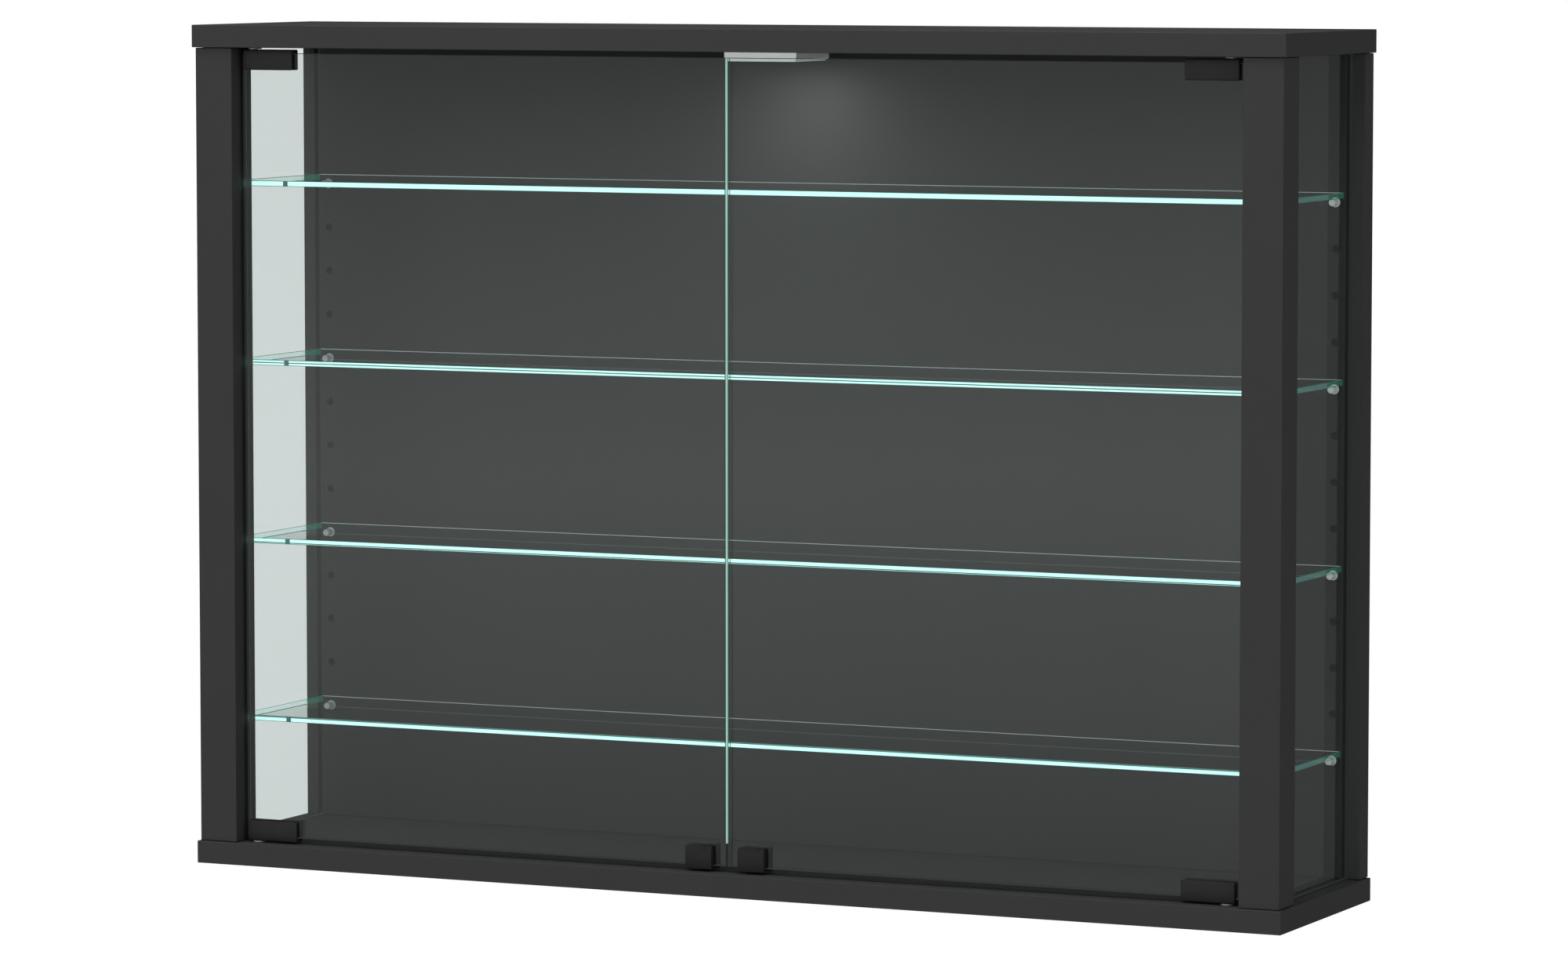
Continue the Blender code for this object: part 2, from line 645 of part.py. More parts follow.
def make_lamp():
    """A flat square lamp: housing with chamfered lower edges, LED board and opal diffuser."""
    top = CEILING - FIT
    bottom = top - LAMP_HEIGHT
    roof = top - LAMP_ROOF
    half = LAMP_SIZE / 2
    origin = (0, LAMP_Y, top)
    mesh = block_mesh((-half, LAMP_Y - half, bottom), (half, LAMP_Y + half, top))
    lower = [edge for edge in mesh.edges if max(vert.co.z for vert in edge.verts) < roof]
    bmesh.ops.bevel(mesh, geom=lower, offset=LAMP_CHAMFER, segments=1, affect="EDGES")
    housing = piece("lamp_housing", "silver", mesh, origin)
    opening = half - LAMP_WALL
    low = (-opening, LAMP_Y - opening, bottom - LAMP_HEIGHT)
    cut(housing, "lamp_housing_cavity", block_mesh(low, (opening, LAMP_Y + opening, roof)))
    outlet = bmesh.new()
    centre = (LEAD_X, LAMP_Y + half, (roof + bottom) / 2)
    add_cylinder(outlet, centre, (0, 1, 0), LAMP_LEAD_RADIUS, 2 * (LAMP_WALL + FIT), SMALL)
    cut(housing, "lamp_housing_outlet", outlet)

    inner = opening - FIT
    for name, kind, low_z, thickness in (
        ("lamp_led_board", "white_board", roof - FIT - LAMP_LED_BOARD, LAMP_LED_BOARD),
        ("lamp_diffuser", "opal", bottom + FIT, LAMP_DIFFUSER),
    ):
        low = (-inner, LAMP_Y - inner, low_z)
        high = (inner, LAMP_Y + inner, low_z + thickness)
        piece(name, kind, block_mesh(low, high), (0, LAMP_Y, low_z))


clear_scene()
make_back()
make_lamp()
for board_end in (-1, 1):
    make_board(board_end)
for shelf_number in range(1, SHELF_COUNT + 1):
    make_shelf(shelf_number)
for cabinet_side in (-1, 1):
    make_post(cabinet_side)
    make_side_pane(cabinet_side)
    make_door(cabinet_side)
    make_stop(cabinet_side)
    make_hanger(cabinet_side)
    for dowel_end in (-1, 1):
        dowel_name = f"{side_name(cabinet_side)}_{end_name(dowel_end)}_post_dowel"
        make_dowel(dowel_name, cabinet_side * POST_X, POST_Y, dowel_end)
for dowel_end in (-1, 1):
    make_dowel(f"{end_name(dowel_end)}_back_dowel", 0, BACK_FACE / 2, dowel_end)
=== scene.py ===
"""Looks of a wall-hung showcase: black foiled boards, float glass, clip hinges and a lit lamp.

Metres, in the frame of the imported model: the origin is the middle of the back face, +Z is up and
the front faces -Y.
"""

import json
import math

import bmesh
import bpy
from mathutils import Matrix, Vector


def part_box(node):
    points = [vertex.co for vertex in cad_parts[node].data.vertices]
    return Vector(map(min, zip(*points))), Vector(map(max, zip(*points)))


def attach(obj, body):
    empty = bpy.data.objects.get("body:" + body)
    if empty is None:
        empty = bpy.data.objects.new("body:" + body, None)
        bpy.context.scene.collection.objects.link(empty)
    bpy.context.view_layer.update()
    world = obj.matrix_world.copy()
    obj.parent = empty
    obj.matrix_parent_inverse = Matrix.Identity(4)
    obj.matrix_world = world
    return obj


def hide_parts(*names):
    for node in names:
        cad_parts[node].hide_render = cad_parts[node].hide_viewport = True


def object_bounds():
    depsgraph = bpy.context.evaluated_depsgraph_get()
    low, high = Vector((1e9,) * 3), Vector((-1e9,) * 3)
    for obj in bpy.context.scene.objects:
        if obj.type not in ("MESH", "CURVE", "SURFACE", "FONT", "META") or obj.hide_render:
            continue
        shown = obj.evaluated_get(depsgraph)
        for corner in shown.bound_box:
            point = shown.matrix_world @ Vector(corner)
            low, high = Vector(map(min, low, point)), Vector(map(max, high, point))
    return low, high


SIDES = {"left": -1, "right": 1}
ENDS = {"bottom": -1, "top": 1}
SHELVES = 4

# Camera: where it aims, how it looks, and how far back it stands
AIM = Vector((0.009, -0.088, -0.0156))
AIM_DISTANCE = 4.702
YAW = 24.79
PITCH = 4.79
LENS = 154.3
SENSOR = 36.0

# Stage: how far below the case the floor is, and how bright the studio is, directly and in glass
FLOOR_DROP = 1.0
FLOOR_SIZE = 5.0
BACKGROUND = 1.0
FILL = 0.46
REFLECTED = 0.03
FLOOR_REFLECTED = 0.12
HORIZON_GLOW = 0.74
SIDE_GLOW = 0.13
# The glow in front, from below the horizon to above it, as (height, brightness)
HORIZON_BAND = ((0.0, 0.25), (0.25, 0.45), (0.48, 1.0), (0.66, 0.55), (0.9, 0.3))
# Where each glow starts and is full, along the axis that it is measured on
BAND_HEIGHT = (-0.25, 0.10)
FRONT_REACH = (0.0, -0.6)
SIDE_REACH = (0.2, 0.4)
# Soft boxes: place, target, size and brightness
SOFTBOXES = {
    "key": ((-1.4, -3.4, 1.5), (0, 0, 0), (1.8, 1.4), 5.6),
    "side": ((3.2, -2.0, 1.2), (0, 0, 0), (1.6, 1.6), 3.8),
    "over": ((-0.2, -0.6, 2.6), (0, -0.1, 0), (2.0, 1.6), 9.0),
}
LAMP_SIZE = 0.04
LAMP_BRIGHTNESS = 44
LAMP_DROP = 0.002

# Glass: the ground edge round each pane
ARRIS = 0.0004
# Where a fine painted dark line runs across the painted glow of each shelf's front edge, as a share
# of its height
EDGE_LINES = {1: 0.80, 2: 0.24, 3: 0.50, 4: None}
EDGE_LINE_HEIGHT = 0.0007
# How far sideways the painted dark spot for the rear pin, seen through the glass, sits in the front
# edge, for each metre of shelf between them
PIN_SHIFT = 0.287
# How deep a shelf's end has a darker painted glow at the rear, and the share of the right door's
# meeting edge, from the front, that is painted dark
DARK_END = 0.030
DARK_SHARE = 0.45
# The painted highlight along the top of each shelf's rear edge, and how much light a shelf end lets
# by
REAR_LINE = 0.0005
END_CLEAR = 0.94

# Metal and plastic
CLIP_ROUND = 0.0009
GRIP_ROUND = 0.0004
FIT = 0.0003
PIN_RADIUS = 0.0025
PIN_NOSE = 0.0007
PIN_COLLAR = 3 * FIT
# How much narrower than the pin its painted spot in the front edge is, at each side
PIN_SPOT = 0.0015
HANGER_SCREW_OFFSET = 0.022
SCREW_HEAD_RADIUS = 0.0036
SCREW_HEAD_SUNK = 0.0015
# The cross recess, as shares of the head's radius: an arm's length and half its width
CROSS_ARM = 0.6
CROSS_HALF_WIDTH = 0.11
CROSS_TURNS = (45, 135)

# Meshes: steps round a turned piece and in a rounded edge, and the angles that decide an edge
TURNED = 48
QUARTER_STEPS = 6
SOFT_STEPS = 3
SMOOTH_BELOW = math.radians(35)
SHARP_ABOVE = math.radians(30)
FLAT_BELOW = math.radians(2)
SAME_POINT = 0.000001
# How closely a face's normal follows an axis, to look straight along it or roughly its way
STRAIGHT = 0.99
ROUGHLY = 0.3

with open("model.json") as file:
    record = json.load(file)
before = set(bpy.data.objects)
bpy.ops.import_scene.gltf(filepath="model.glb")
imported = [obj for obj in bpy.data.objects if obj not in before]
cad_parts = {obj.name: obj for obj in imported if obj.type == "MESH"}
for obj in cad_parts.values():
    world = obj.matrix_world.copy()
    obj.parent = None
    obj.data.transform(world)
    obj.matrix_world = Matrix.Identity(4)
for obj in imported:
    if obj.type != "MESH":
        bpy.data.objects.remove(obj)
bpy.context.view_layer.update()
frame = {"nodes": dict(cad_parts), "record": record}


class Value:
    """A number that varies over a surface. Arithmetic on it adds Math nodes."""

    def __init__(self, graph, socket):
        self.graph = graph
        self.socket = socket

    def _math(self, operation, *terms):
        settings = {"operation": operation}
        return self.graph.value("Math", settings, dict(enumerate(terms)))

    def __add__(self, other):
        return self._math("ADD", self, other)

    def __radd__(self, other):
        return self._math("ADD", other, self)

    def __sub__(self, other):
        return self._math("SUBTRACT", self, other)

    def __rsub__(self, other):
        return self._math("SUBTRACT", other, self)

    def __mul__(self, other):
        return self._math("MULTIPLY", self, other)

    def __rmul__(self, other):
        return self._math("MULTIPLY", other, self)

    def __pow__(self, other):
        return self._math("POWER", self, other)


class Graph:
    """The nodes of a material being built, or of a tree that is given."""

    def __init__(self, name, tree=None):
        if tree is None:
            self.material = bpy.data.materials.new(name)
            self.material.use_nodes = True
            tree = self.material.node_tree
        self.tree = tree
        self.tree.nodes.clear()

    def node(self, kind, settings=None, inputs=None, out=0):
        """Adds a node, sets it up and fills its sockets. Returns one of its outputs."""
        node = self.tree.nodes.new(f"ShaderNode{kind}")
        for key, setting in (settings or {}).items():
            if key == "stops":
                ramp = node.color_ramp
                while len(ramp.elements) < len(setting):
                    ramp.elements.new(1.0)
                for element, (place, colour) in zip(ramp.elements, setting):
                    element.position = place
                    element.color = (*colour, 1)
            else:
                setattr(node, key, setting)
        for key, given in (inputs or {}).items():
            given = given.socket if isinstance(given, Value) else given
            if isinstance(given, bpy.types.NodeSocket):
                self.tree.links.new(given, node.inputs[key])
            elif isinstance(given, tuple) and node.inputs[key].type == "RGBA":
                node.inputs[key].default_value = (*given, 1)
            else:
                node.inputs[key].default_value = given
        return None if out is None else node.outputs[out]

    def value(self, kind, settings=None, inputs=None, out=0):
        return Value(self, self.node(kind, settings, inputs, out))

    def place(self):
        return self.node("TexCoord", out="Object")

    def noise(self, scale, detail, stretch=(1, 1, 1)):
        """Noise over the piece, with scale in waves per metre."""
        where = self.node("Mapping", None, {"Vector": self.place(), "Scale": stretch})
        inputs = {"Vector": where, "Scale": scale, "Detail": detail}
        return self.value("TexNoise", None, inputs, out="Fac")

    def blend(self, share, first, second):
        """A colour that runs from first to second as share runs from 0 to 1."""
        factor, colour_a, colour_b, colour_out = 0, 6, 7, 2
        inputs = {factor: share, colour_a: first, colour_b: second}
        return self.node("Mix", {"data_type": "RGBA"}, inputs, out=colour_out)

    def mix(self, share, first, second):
        """A shader that runs from first to second as share runs from 0 to 1."""
        return self.node("MixShader", None, {0: share, 1: first, 2: second})

    def ramp(self, value, reach):
        """Runs from 0 to 1 as value goes from one end of its reach to the other."""
        inputs = {"Value": value, "From Min": reach[0], "From Max": reach[1]}
        return self.value("MapRange", None, inputs)

    def axes(self, vector, names):
        """The parts of a vector along the named axes."""
        return [self.value("SeparateXYZ", None, {0: vector}, out=name) for name in names]

    def bump(self, height, depth, strength):
        inputs = {"Height": height, "Distance": depth, "Strength": strength}
        return self.node("Bump", None, inputs)

    def principled(self, **inputs):
        named = {key.replace("_", " "): given for key, given in inputs.items()}
        return self.node("BsdfPrincipled", None, named)

    def as_seen(self, shader, kind, mirrored):
        """Plain white where it is seen directly, and as bright as mirrored says in glass."""
        for strength, ray in ((mirrored, "Is Glossy Ray"), (BACKGROUND, "Is Camera Ray")):
            layer = self.node(kind, None, {"Color": (1, 1, 1), "Strength": strength})
            shader = self.mix(self.node("LightPath", out=ray), shader, layer)
        return shader

    def finish(self, shader):
        self.node("OutputMaterial", None, {"Surface": shader}, out=None)
        return self.material


def foiled_board():
    """Matt black melamine foil: a fine pressed grain, with a slight cloudiness."""
    graph = Graph("black_foil")
    cloud = graph.noise(9, 2)
    grain = graph.noise(3200, 3)
    pores = graph.noise(700, 2)
    shade = cloud * 0.6 + pores * 0.4
    return graph.finish(
        graph.principled(
            Base_Color=graph.blend(shade, (0.028, 0.028, 0.0285), (0.036, 0.036, 0.036)),
            Roughness=0.50 + 0.12 * pores,
            Specular_IOR_Level=0.25,
            Normal=graph.bump(grain, 0.00001, 0.18),
        )
    )


def clear_glass(name, tint, gloss):
    """A pane's face: see-through, and more of a mirror at a low angle. Faint wiping marks."""
    graph = Graph(name)
    facing = graph.value("LayerWeight", None, {"Blend": 0.5}, out="Facing")
    mirror = (0.04 + 0.96 * facing ** 5) * gloss
    wiped = graph.noise(14, 3, (1, 1, 0.35))
    through = graph.node("BsdfTransparent", None, {"Color": tint})
    polish = {"Color": (0.93, 0.97, 0.96), "Roughness": 0.01 + 0.03 * wiped}
    shine = graph.node("BsdfGlossy", None, polish)
    return graph.finish(graph.mix(mirror, through, shine))


def glass_edge(name, colour, glow, strength):
    """A ground edge, with a painted glow for the light that comes out of it. Fine grinding marks.
    """
    graph = Graph(name)
    marks = graph.noise(700, 3)
    dark = tuple(0.8 * part for part in colour)
    dim = tuple(0.9 * part for part in glow)
    return graph.finish(
        graph.principled(
            Base_Color=graph.blend(marks, dark, colour),
            Roughness=0.25 + 0.15 * marks,
            # Painted glow: the edge gives out light of its own, though it is no lamp
            Emission_Color=graph.blend(marks, dim, glow),
            Emission_Strength=strength,
            Normal=graph.bump(marks, 0.00004, 0.4),
        )
    )


def glass_end(name, glow, strength):
    """A shelf's end: a painted glow comes out of it, and most of what is behind shows through."""
    graph = Graph(name)
    marks = graph.noise(700, 3)
    dim = tuple(0.85 * part for part in glow)
    ground = graph.principled(
        Base_Color=graph.blend(marks, (0.01, 0.05, 0.04), (0.02, 0.07, 0.06)),
        Roughness=0.3 + 0.15 * marks,
        # Painted glow on the end, though it is no lamp
        Emission_Color=graph.blend(marks, dim, glow),
        Emission_Strength=strength,
        Normal=graph.bump(marks, 0.00004, 0.4),
    )
    through = graph.node("BsdfTransparent", None, {"Color": (0.97, 0.99, 0.985)})
    return graph.finish(graph.mix(END_CLEAR, ground, through))


def cast_black(name, colour, metallic, roughness):
    """Satin black on a die-cast or moulded piece: a fine orange peel."""
    graph = Graph(name)
    peel = graph.noise(1100, 2)
    cloud = graph.noise(160, 2)
    lighter = tuple(1.5 * part for part in colour)
    return graph.finish(
        graph.principled(
            Base_Color=graph.blend(cloud, colour, lighter),
            Metallic=metallic,
            Roughness=roughness + 0.12 * peel,
            Normal=graph.bump(peel, 0.00005, 0.5),
        )
    )


def metal(name, colour, roughness, metallic, stretch=(1, 1, 1)):
    """Plated, brushed or anodised metal, with fine marks."""
    graph = Graph(name)
    marks = graph.noise(900, 3, stretch)
    darker = tuple(0.86 * part for part in colour)
    return graph.finish(
        graph.principled(
            Base_Color=graph.blend(marks, darker, colour),
            Metallic=metallic,
            Roughness=roughness + 0.12 * marks,
            Normal=graph.bump(marks, 0.00002, 0.4),
        )
    )


def plain(name, colour, roughness, glow=0.0):
    """A moulded or cut material with a faint unevenness, and a glow where it is lit from behind."""
    graph = Graph(name)
    uneven = graph.noise(400, 3)
    darker = tuple(0.88 * part for part in colour)
    return graph.finish(
        graph.principled(
            Base_Color=graph.blend(uneven, darker, colour),
            Roughness=roughness + 0.1 * uneven,
            Emission_Color=graph.blend(uneven, darker, colour),
            Emission_Strength=glow,
            Normal=graph.bump(uneven, 0.00005, 0.4),
        )
    )


def lit_housing():
    """The lamp's frosted case: its front and its slope get a painted glow by which way they face,
    its sides don't.
    """
    graph = Graph("frosted_silver")
    uneven = graph.noise(700, 3)
    # Painted light: the glow follows the face's normal, so the front looks lit and the sides look
    # shaded
    ahead, up = graph.axes(graph.node("TexCoord", out="Normal"), "YZ")
    share = 0 - ahead - 0.5 * up
    return graph.finish(
        graph.principled(
            Base_Color=graph.blend(uneven, (0.80, 0.82, 0.81), (0.90, 0.93, 0.92)),
            Roughness=0.38 + 0.1 * uneven,
            Emission_Color=graph.blend(share, (0.0, 0.0, 0.0), (0.92, 0.96, 0.95)),
            Emission_Strength=0.24,
            Normal=graph.bump(uneven, 0.00005, 0.3),
        )
    )


def turned_wood():
    """Beech: short grain along the dowel."""
    graph = Graph("beech")
    grain = graph.noise(900, 4, (1, 1, 0.12))
    return graph.finish(
        graph.principled(
            Base_Color=graph.blend(grain, (0.40, 0.24, 0.12), (0.62, 0.43, 0.25)),
            Roughness=0.55 + 0.2 * grain,
            Normal=graph.bump(grain, 0.0001, 0.5),
        )
    )


def link_object(name, mesh, materials, body, smooth=True):
    """Makes a visible piece of a mesh, and lets it ride on its body."""
    data = bpy.data.meshes.new(name)
    bmesh.ops.recalc_face_normals(mesh, faces=mesh.faces)
    mesh.to_mesh(data)
    mesh.free()
    for material in materials:
        data.materials.append(material)
    item = bpy.data.objects.new(name, data)
    bpy.context.scene.collection.objects.link(item)
    if smooth:
        data.shade_smooth()
        data.set_sharp_from_angle(angle=SMOOTH_BELOW)
    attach(item, body)
    return item


def body_of_node(node):
    bodies = frame["record"]["behaviour"]["bodies"]
    return next(body for body, members in bodies.items() if node in members)


def stand_for(node):
    """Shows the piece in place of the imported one."""
    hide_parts(node)


def box_mesh(low, high):
    mesh = bmesh.new()
    size = Vector(high) - Vector(low)
    middle = (Vector(high) + Vector(low)) / 2
    place = Matrix.Translation(middle) @ Matrix.Diagonal((*size, 1))
    bmesh.ops.create_cube(mesh, size=1, matrix=place)
    return mesh


def split(mesh, faces, place, direction):
    """Cuts the faces in two along a plane, and keeps both parts."""
    parts = set(faces)
    parts |= {edge for face in faces for edge in face.edges}
    parts |= {vert for face in faces for vert in face.verts}
    bmesh.ops.bisect_plane(mesh, geom=list(parts), plane_co=place, plane_no=direction)


def facing(mesh, axis, sign):
    """The flat faces that look one way along an axis."""
    return [face for face in mesh.faces if face.normal[axis] * sign > STRAIGHT]


def pane_mesh(node):
    """A pane with its arrises ground off."""
    low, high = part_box(node)
    mesh = box_mesh(low, high)
    bmesh.ops.bevel(mesh, geom=mesh.edges[:], offset=ARRIS, segments=1, affect="EDGES")
    mesh.normal_update()
    return mesh


def finish_pane(node, mesh, pick, materials):
    """Shows the pane. Each face has the finish that pick names for it."""
    mesh.normal_update()
    names = list(materials)
    for face in mesh.faces:
        face.material_index = names.index(pick(face))
    item = link_object(f"{node}_pane", mesh, list(materials.values()), body_of_node(node), False)
    stand_for(node)


def make_door_pane(name, side, materials):
    """The edge in the middle of the case has a painted glow on the left door and a painted dark
    strip at its front on the right door, but not behind the finger grip, where it is painted dark
    for shade.
    """
    node = f"{name}_door_glass"
    low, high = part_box(node)
    grip_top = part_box(f"{name}_door_grip")[1][2]
    shallow = low[1] + (high[1] - low[1]) * DARK_SHARE
    mesh = pane_mesh(node)
    split(mesh, facing(mesh, 0, -side), (0, 0, grip_top), (0, 0, 1))
    split(mesh, facing(mesh, 0, -side), (0, shallow, 0), (0, 1, 0))

    def pick(face):
        normal, middle = face.normal, face.calc_center_median()
        if abs(normal.y) > STRAIGHT:
            return "face"
        # Below the grip, and on the other edges, the edge is painted dark for shade, with a faint
        # painted glow
        if -normal.x * side < STRAIGHT or middle.z < grip_top:
            return "edge"
        if side > 0:
            return "meeting_dark" if middle.y < shallow else "face"
        return "meeting"

    finish_pane(node, mesh, pick, materials)


def make_side_pane(name, materials):
    """All four edges are hidden, in the grooves and against the boards, and are painted dark for
    shade, with a faint painted glow.
    """
    node = f"{name}_side_glass"
    finish_pane(
        node,
        pane_mesh(node),
        lambda face: "face" if abs(face.normal.x) > STRAIGHT else "edge",
        materials,
    )


def make_shelf(number, materials):
    """A shelf whose front edge has a painted glow, but for a painted dark line and a painted dark
    spot where the rear pin would show through it.
    """
    node = f"shelf_{number}"
    low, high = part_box(node)
    mesh = pane_mesh(node)
    line = EDGE_LINES[number]
    line_range = (0, 0)
    if line:
        bottom = low[2] + (high[2] - low[2]) * line - EDGE_LINE_HEIGHT / 2
        line_range = (bottom, bottom + EDGE_LINE_HEIGHT)
        for height in line_range:
            split(mesh, facing(mesh, 1, -1), (0, 0, height), (0, 0, 1))
    pin_low, pin_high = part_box(f"{node}_rear_left_pin")
    across = (pin_low[1] - low[1]) * PIN_SHIFT
    spot = (pin_low[0] + across + PIN_SPOT, pin_high[0] + across - PIN_SPOT)
    for place in spot:
        split(mesh, facing(mesh, 1, -1), (place, 0, 0), (1, 0, 0))
    dark_from = high[1] - DARK_END
    for sign in SIDES.values():
        split(mesh, facing(mesh, 0, sign), (0, dark_from, 0), (0, 1, 0))
    rear_line_from = high[2] - REAR_LINE
    split(mesh, facing(mesh, 1, 1), (0, 0, rear_line_from), (0, 0, 1))

    def pick(face):
        normal, middle = face.normal, face.calc_center_median()
        if abs(normal.z) > STRAIGHT:
            return "face"
        if normal.y < -STRAIGHT:
            # Painted dark spot for the rear pin, seen through the glass
            if spot[0] < middle.x < spot[1]:
                return "spot"
            # A fine painted dark line across the front's painted glow
            return "line" if line_range[0] < middle.z < line_range[1] else "front"
        if abs(normal.x) > STRAIGHT:
            # Painted glow on the ends, dimmer and greener at the rear
            return "dark_end" if middle.y > dark_from else "end"
        if normal.y > ROUGHLY:
            # Painted highlight along the top of the rear edge
            return "pale" if middle.z > rear_line_from else "face"
        return "arris"

    finish_pane(node, mesh, pick, materials)


def make_glass():
    face = clear_glass("float_glass", (0.920, 0.942, 0.937), 1.0)
    shelf_face = clear_glass("shelf_glass", (0.965, 0.985, 0.980), 0.25)
    # Painted glow on every edge; the deep green one marks the painted dark line, the arrises and
    # the right door's painted dark edge
    deep = glass_edge("deep_green_edge", (0.008, 0.045, 0.035), (0.026, 0.095, 0.078), 1.0)
    # Painted shade: edges in grooves, against boards or below the grip are dark, with a faint
    # painted glow
    hidden = glass_edge("painted_shade_edge", (0.010, 0.013, 0.012), (0.016, 0.020, 0.018), 1.0)
    # The painted dark spot where the rear pin shows through a shelf's front edge
    teal = glass_edge("painted_pin_spot_edge", (0.030, 0.12, 0.10), (0.05, 0.18, 0.15), 0.35)
    # Painted glow on shelf ends, dimmer and greener towards the rear
    end = glass_end("painted_glow_end", (0.34, 1.0, 0.83), 2.7)
    green = glass_end("painted_dim_glow_end", (0.03, 1.0, 0.62), 1.7)
    # Painted highlight along the top of a shelf's rear edge
    pale = glass_edge("painted_highlight_edge", (0.20, 0.25, 0.24), (0.31, 0.36, 0.35), 1.0)
    # The bright painted glow of the shelf fronts and of the left door's meeting edge
    lit = glass_edge("lit_edge", (0.30, 0.55, 0.50), (0.60, 1.0, 0.93), 1.1)
    meeting = glass_edge("meeting_edge", (0.15, 0.28, 0.22), (0.36, 0.62, 0.52), 0.85)
    door = {"face": face, "edge": hidden, "meeting": meeting, "meeting_dark": deep}
    for name, side in SIDES.items():
        make_door_pane(name, side, door)
        make_side_pane(name, {"face": face, "edge": hidden})
    shelf = {"face": shelf_face, "front": lit, "line": deep, "spot": teal, "arris": deep}
    shelf |= {"end": end, "dark_end": green, "pale": pale}
    for number in range(1, SHELVES + 1):
        make_shelf(number, shelf)


def turned(profile, place, axis):
    """A turned piece. The profile's points are (radius, distance along the axis from place)."""
    mesh = bmesh.new()
    verts = [mesh.verts.new((radius, 0, along)) for radius, along in profile]
    edges = [mesh.edges.new(pair) for pair in zip(verts, verts[1:])]
    bmesh.ops.spin(mesh, geom=verts + edges, axis=(0, 0, 1), angle=math.tau, steps=TURNED)
    bmesh.ops.remove_doubles(mesh, verts=mesh.verts, dist=SAME_POINT)
    turn = Vector((0, 0, 1)).rotation_difference(Vector(axis)).to_matrix().to_4x4()
    bmesh.ops.transform(mesh, matrix=Matrix.Translation(place) @ turn, verts=mesh.verts)
    return mesh


def quarter(radius, along, size):
    """A rounded corner of a profile, from its side at along - size to its end at along."""
    angles = [math.pi / 2 * step / QUARTER_STEPS for step in range(QUARTER_STEPS + 1)]
    return [(radius - size + size * math.cos(a), along - size + size * math.sin(a)) for a in angles]


def prism(outline, travel):
    """An outline pushed along its travel."""
    mesh = bmesh.new()
    face = mesh.faces.new([mesh.verts.new(point) for point in outline])
    pushed = bmesh.ops.extrude_face_region(mesh, geom=[face])["geom"]
    moved = [part for part in pushed if isinstance(part, bmesh.types.BMVert)]
    bmesh.ops.translate(mesh, verts=moved, vec=travel)
    bmesh.ops.recalc_face_normals(mesh, faces=mesh.faces)
    return mesh


def soften(mesh, width):
    """Rounds every edge between two faces that isn't nearly flat."""
    sharp = [edge for edge in mesh.edges if edge.calc_face_angle(0) > SHARP_ABOVE]
    bmesh.ops.bevel(
        mesh,
        geom=sharp,
        offset=width,
        segments=SOFT_STEPS,
        profile=0.5,
        affect="EDGES",
        clamp_overlap=True,
    )


def make_pins(material):
    """Shelf pins: a round nose, a collar against the board, and a stem in its hole."""
    for number in range(1, SHELVES + 1):
        for name in SIDES:
            for place, toward in (("front", 1), ("rear", -1)):
                node = f"shelf_{number}_{place}_{name}_pin"
                low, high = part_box(node)
                if toward > 0:
                    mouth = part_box(f"{name}_post")[1][1]
                    stem, tip = low[1] - mouth, high[1] - mouth
                else:
                    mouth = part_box("back_panel")[0][1]
                    stem, tip = mouth - high[1], mouth - low[1]
                collar = (high[0] - low[0]) / 2
                collar_top = FIT + PIN_COLLAR
                profile = [(0, stem), (PIN_RADIUS, stem), (PIN_RADIUS, FIT)]
                profile += [(collar, FIT)] + quarter(collar, collar_top, FIT)
                profile += [(PIN_RADIUS, collar_top)]
                profile += quarter(PIN_RADIUS, tip, PIN_NOSE) + [(0, tip)]
                middle = ((low[0] + high[0]) / 2, mouth, (low[2] + high[2]) / 2)
                mesh = turned(profile, middle, (0, toward, 0))
                item = link_object(f"{node}_turned", mesh, [material], "cabinet")
                stand_for(node)


def make_clips(material):
    """Hinge clips: two jaws joined by a web past the end of the glass, all edges rounded."""
    for name in SIDES:
        glass_low, glass_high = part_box(f"{name}_door_glass")
        for end_name, end in ENDS.items():
            node = f"{name}_{end_name}_hinge_clip"
            low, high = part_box(node)
            outer, tip = (high[2], low[2]) if end > 0 else (low[2], high[2])
            web = (glass_high[2] if end > 0 else glass_low[2]) + end * FIT
            front, rear = glass_low[1] - FIT, glass_high[1] + FIT
            section = [(low[1], outer), (high[1], outer), (high[1], tip), (rear, tip), (rear, web)]
            section += [(front, web), (front, tip), (low[1], tip)]
            mesh = prism([(low[0], y, z) for y, z in section], (high[0] - low[0], 0, 0))
            soften(mesh, CLIP_ROUND)
            item = link_object(f"{node}_rounded", mesh, [material], f"{name}_door")
            stand_for(node)


def make_grips(material):
    """Finger grips, as packed. Their points need welding before an edge can round."""
    for name in SIDES:
        node = f"{name}_door_grip"
        mesh = bmesh.new()
        mesh.from_mesh(frame["nodes"][node].data)
        bmesh.ops.dissolve_limit(mesh, angle_limit=FLAT_BELOW, verts=mesh.verts, edges=mesh.edges)
        soften(mesh, GRIP_ROUND)
        item = link_object(f"{node}_moulded", mesh, [material], f"{name}_door")
        stand_for(node)


def make_hanger_screws(material):
    """Two flat screw heads on each wall hanger, with a cross recess."""
    for name in SIDES:
        low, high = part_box(f"{name}_wall_hanger")
        middle = [(low[axis] + high[axis]) / 2 for axis in range(3)]
        for number, side in enumerate(SIDES.values(), 1):
            x = middle[0] + side * HANGER_SCREW_OFFSET
            base = (x, high[1] - SCREW_HEAD_SUNK, middle[2])
            height = SCREW_HEAD_SUNK - high[1] - FIT / 10
            profile = [(0, 0), (SCREW_HEAD_RADIUS, 0)] + quarter(SCREW_HEAD_RADIUS, height, FIT / 2)
            mesh = turned(profile + [(0, height)], base, (0, 1, 0))
            item = link_object(f"{name}_wall_hanger_screw_{number}", mesh, [material], "cabinet")
            for turn in CROSS_TURNS:
                cross_recess(item, base, height, turn)


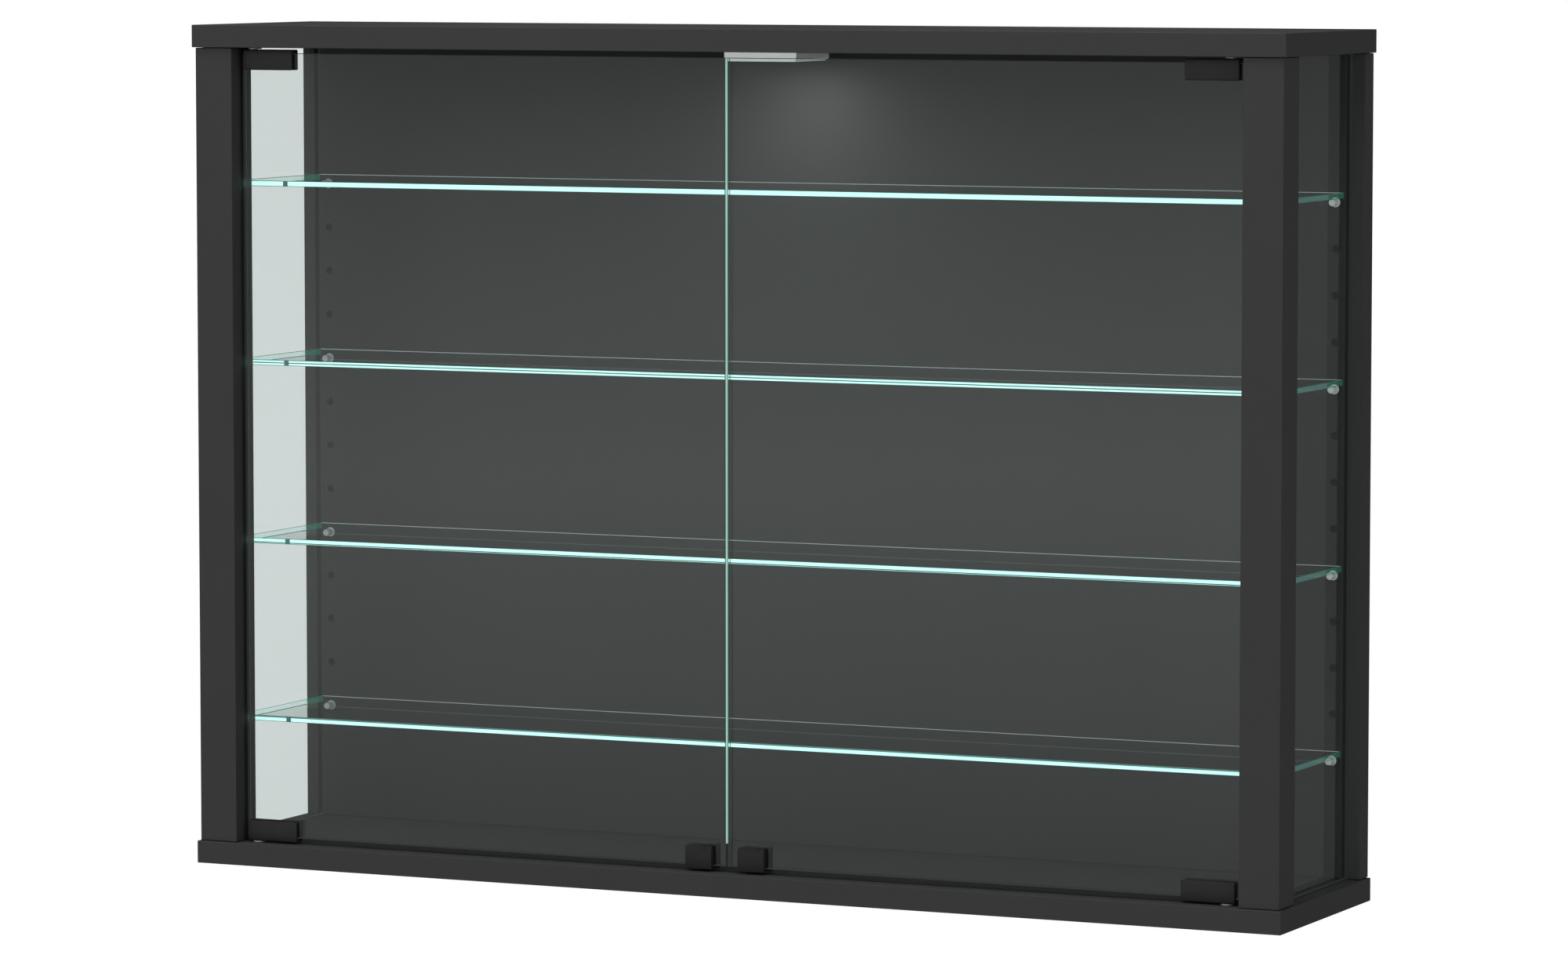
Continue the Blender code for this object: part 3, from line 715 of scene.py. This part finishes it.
def cross_recess(item, base, height, turn):
    """Cuts one arm of the cross."""
    arm, half = SCREW_HEAD_RADIUS * CROSS_ARM, SCREW_HEAD_RADIUS * CROSS_HALF_WIDTH
    mesh = box_mesh((-arm, height - SCREW_HEAD_SUNK / 2, -half), (arm, height + FIT, half))
    place = Matrix.Translation(base) @ Matrix.Rotation(math.radians(turn), 4, "Y")
    bmesh.ops.transform(mesh, matrix=place, verts=mesh.verts)
    data = bpy.data.meshes.new(f"{item.name}_recess")
    mesh.to_mesh(data)
    mesh.free()
    cutter = bpy.data.objects.new(data.name, data)
    bpy.context.scene.collection.objects.link(cutter)
    boolean = item.modifiers.new("recess", "BOOLEAN")
    boolean.object = cutter
    boolean.solver = "EXACT"
    bpy.context.view_layer.update()
    graph = bpy.context.evaluated_depsgraph_get()
    whole = bpy.data.meshes.new_from_object(item.evaluated_get(graph))
    item.modifiers.clear()
    item.data = whole
    bpy.data.objects.remove(cutter)


def dress(materials):
    """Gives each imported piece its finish."""
    slots = {part["node"]: part["material_slot"] for part in frame["record"]["subparts"]}
    for node, item in frame["nodes"].items():
        item.data.materials.clear()
        item.data.materials.append(materials[slots[node]])


def make_floor():
    """A pale floor well below the case, which is white where it is seen."""
    mesh = bmesh.new()
    place = Matrix.Translation((0, 0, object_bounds()[0][2] - FLOOR_DROP))
    bmesh.ops.create_grid(mesh, x_segments=1, y_segments=1, size=FLOOR_SIZE / 2, matrix=place)
    data = bpy.data.meshes.new("floor")
    mesh.to_mesh(data)
    mesh.free()
    floor = bpy.data.objects.new("floor", data)
    bpy.context.scene.collection.objects.link(floor)
    graph = Graph("pale_floor")
    matt = graph.node("BsdfDiffuse", None, {"Color": (0.80, 0.80, 0.80)})
    data.materials.append(graph.finish(graph.as_seen(matt, "Emission", FLOOR_REFLECTED)))


def make_world():
    """A white studio. In glass it is dark, but for a soft glow low in front and one at the side."""
    world = bpy.data.worlds.new("studio")
    bpy.context.scene.world = world
    world.use_nodes = True
    graph = Graph("studio", world.node_tree)
    across, ahead, up = graph.axes(graph.node("TexCoord", out="Generated"), "XYZ")
    stops = [(height, (bright,) * 3) for height, bright in HORIZON_BAND]
    band = graph.value("ValToRGB", {"stops": stops}, {"Fac": graph.ramp(up, BAND_HEIGHT)})
    front = graph.ramp(ahead, FRONT_REACH)
    side = graph.ramp(across, SIDE_REACH)
    mirrored = REFLECTED + HORIZON_GLOW * band * front + SIDE_GLOW * side
    fill = graph.node("Background", None, {"Color": (1, 1, 1), "Strength": FILL})
    shader = graph.as_seen(fill, "Background", mirrored)
    graph.node("OutputWorld", None, {"Surface": shader}, out=None)


def softbox(name, place, target, size, brightness):
    """An area light as bright as it looks, so that its power follows its size."""
    light = bpy.data.lights.new(name, "AREA")
    light.shape = "RECTANGLE"
    light.size, light.size_y = size
    light.energy = brightness * math.pi * size[0] * size[1]
    item = bpy.data.objects.new(name, light)
    item.location = place
    item.rotation_euler = (Vector(target) - Vector(place)).to_track_quat("-Z", "Y").to_euler()
    item.visible_glossy = False
    bpy.context.scene.collection.objects.link(item)


def make_lights():
    """Three soft boxes, and the lamp's own light straight down from its diffuser."""
    for name, (place, target, size, brightness) in SOFTBOXES.items():
        softbox(name, place, target, size, brightness)
    low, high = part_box("lamp_diffuser")
    middle = [(low[axis] + high[axis]) / 2 for axis in range(3)]
    start = (middle[0], middle[1], low[2] - LAMP_DROP)
    below = (middle[0], middle[1], -1)
    softbox("lamp_glow", start, below, (LAMP_SIZE, LAMP_SIZE), LAMP_BRIGHTNESS)


def make_camera():
    yaw, pitch = math.radians(YAW), math.radians(PITCH)
    level = math.cos(pitch)
    ahead = Vector((-math.sin(yaw) * level, math.cos(yaw) * level, -math.sin(pitch)))
    camera = bpy.data.objects.new("camera", bpy.data.cameras.new("camera"))
    camera.data.lens = LENS
    camera.data.sensor_width = SENSOR
    camera.data.clip_end = 200
    camera.location = AIM - AIM_DISTANCE * ahead
    camera.rotation_euler = (math.pi / 2 - pitch, 0, yaw)
    bpy.context.scene.collection.objects.link(camera)
    bpy.context.scene.camera = camera


finishes = {
    "black_board": foiled_board(),
    "clear_glass": clear_glass("pane", (0.95, 0.97, 0.965), 0.8),
    "shelf_glass": clear_glass("shelf_pane", (0.95, 0.97, 0.965), 0.8),
    "black_metal": cast_black("black_casting", (0.014, 0.014, 0.015), 0.2, 0.34),
    "black_plastic": cast_black("black_moulding", (0.008, 0.008, 0.0085), 0.0, 0.38),
    "grey_nylon": plain("nylon", (0.30, 0.30, 0.31), 0.5),
    "rubber": plain("rubber", (0.02, 0.02, 0.02), 0.75),
    "nickel": metal("nickel_plate", (0.96, 0.96, 0.95), 0.16, 0.1),
    "steel": metal("zinc_plate", (0.55, 0.57, 0.60), 0.3, 0.8, (1, 1, 0.1)),
    "beech": turned_wood(),
    "silver": lit_housing(),
    "opal": plain("opal", (0.95, 0.97, 0.97), 0.4, 2.0),
    "white_board": plain("white_circuit_board", (0.80, 0.82, 0.80), 0.5),
}
make_camera()
dress(finishes)
make_glass()
make_pins(finishes["nickel"])
make_clips(finishes["black_metal"])
make_grips(finishes["black_plastic"])
make_hanger_screws(finishes["steel"])
make_floor()
make_world()
make_lights()
bpy.context.scene.view_settings.view_transform = "Standard"
